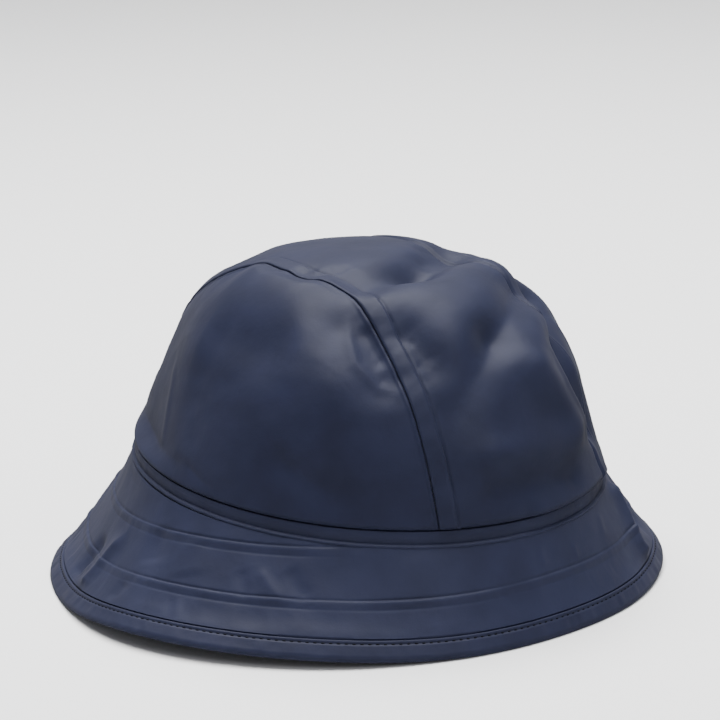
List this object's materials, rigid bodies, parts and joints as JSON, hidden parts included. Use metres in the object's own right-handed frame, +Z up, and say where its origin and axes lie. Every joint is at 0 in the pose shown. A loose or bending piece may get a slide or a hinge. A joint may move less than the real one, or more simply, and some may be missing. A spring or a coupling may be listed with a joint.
{
  "type": "rain hat",
  "caption": "Soft rain hat in coated cloth: a panelled crown with a centre strip, a low band and a ribbed sloping brim, short in front and long behind, with a folded edge.",
  "frame": {"origin": "under the middle of the hat's bounding box, on the surface that the brim's edge stands on", "axes": "+Z up through the crown, -Y out of the front where the brim is short, +Y out of the back, -X toward the wearer's right hand"},
  "size_m": [0.2494, 0.2534, 0.133],
  "materials": {
    "crown_cloth": "satin coated rain cloth, navy",
    "strip_cloth": "satin coated rain cloth, navy",
    "band_cloth": "satin coated rain cloth, navy",
    "brim_cloth": "satin coated rain cloth, navy",
    "binding_cloth": "satin coated rain cloth, navy, folded and stitched"
  },
  "bodies": {
    "root": {"crown_right_panel": "crown_cloth", "crown_centre_strip": "strip_cloth", "crown_left_panel": "crown_cloth", "crown_band": "band_cloth", "brim": "brim_cloth", "brim_binding": "binding_cloth"}
  },
  "joints": []
}
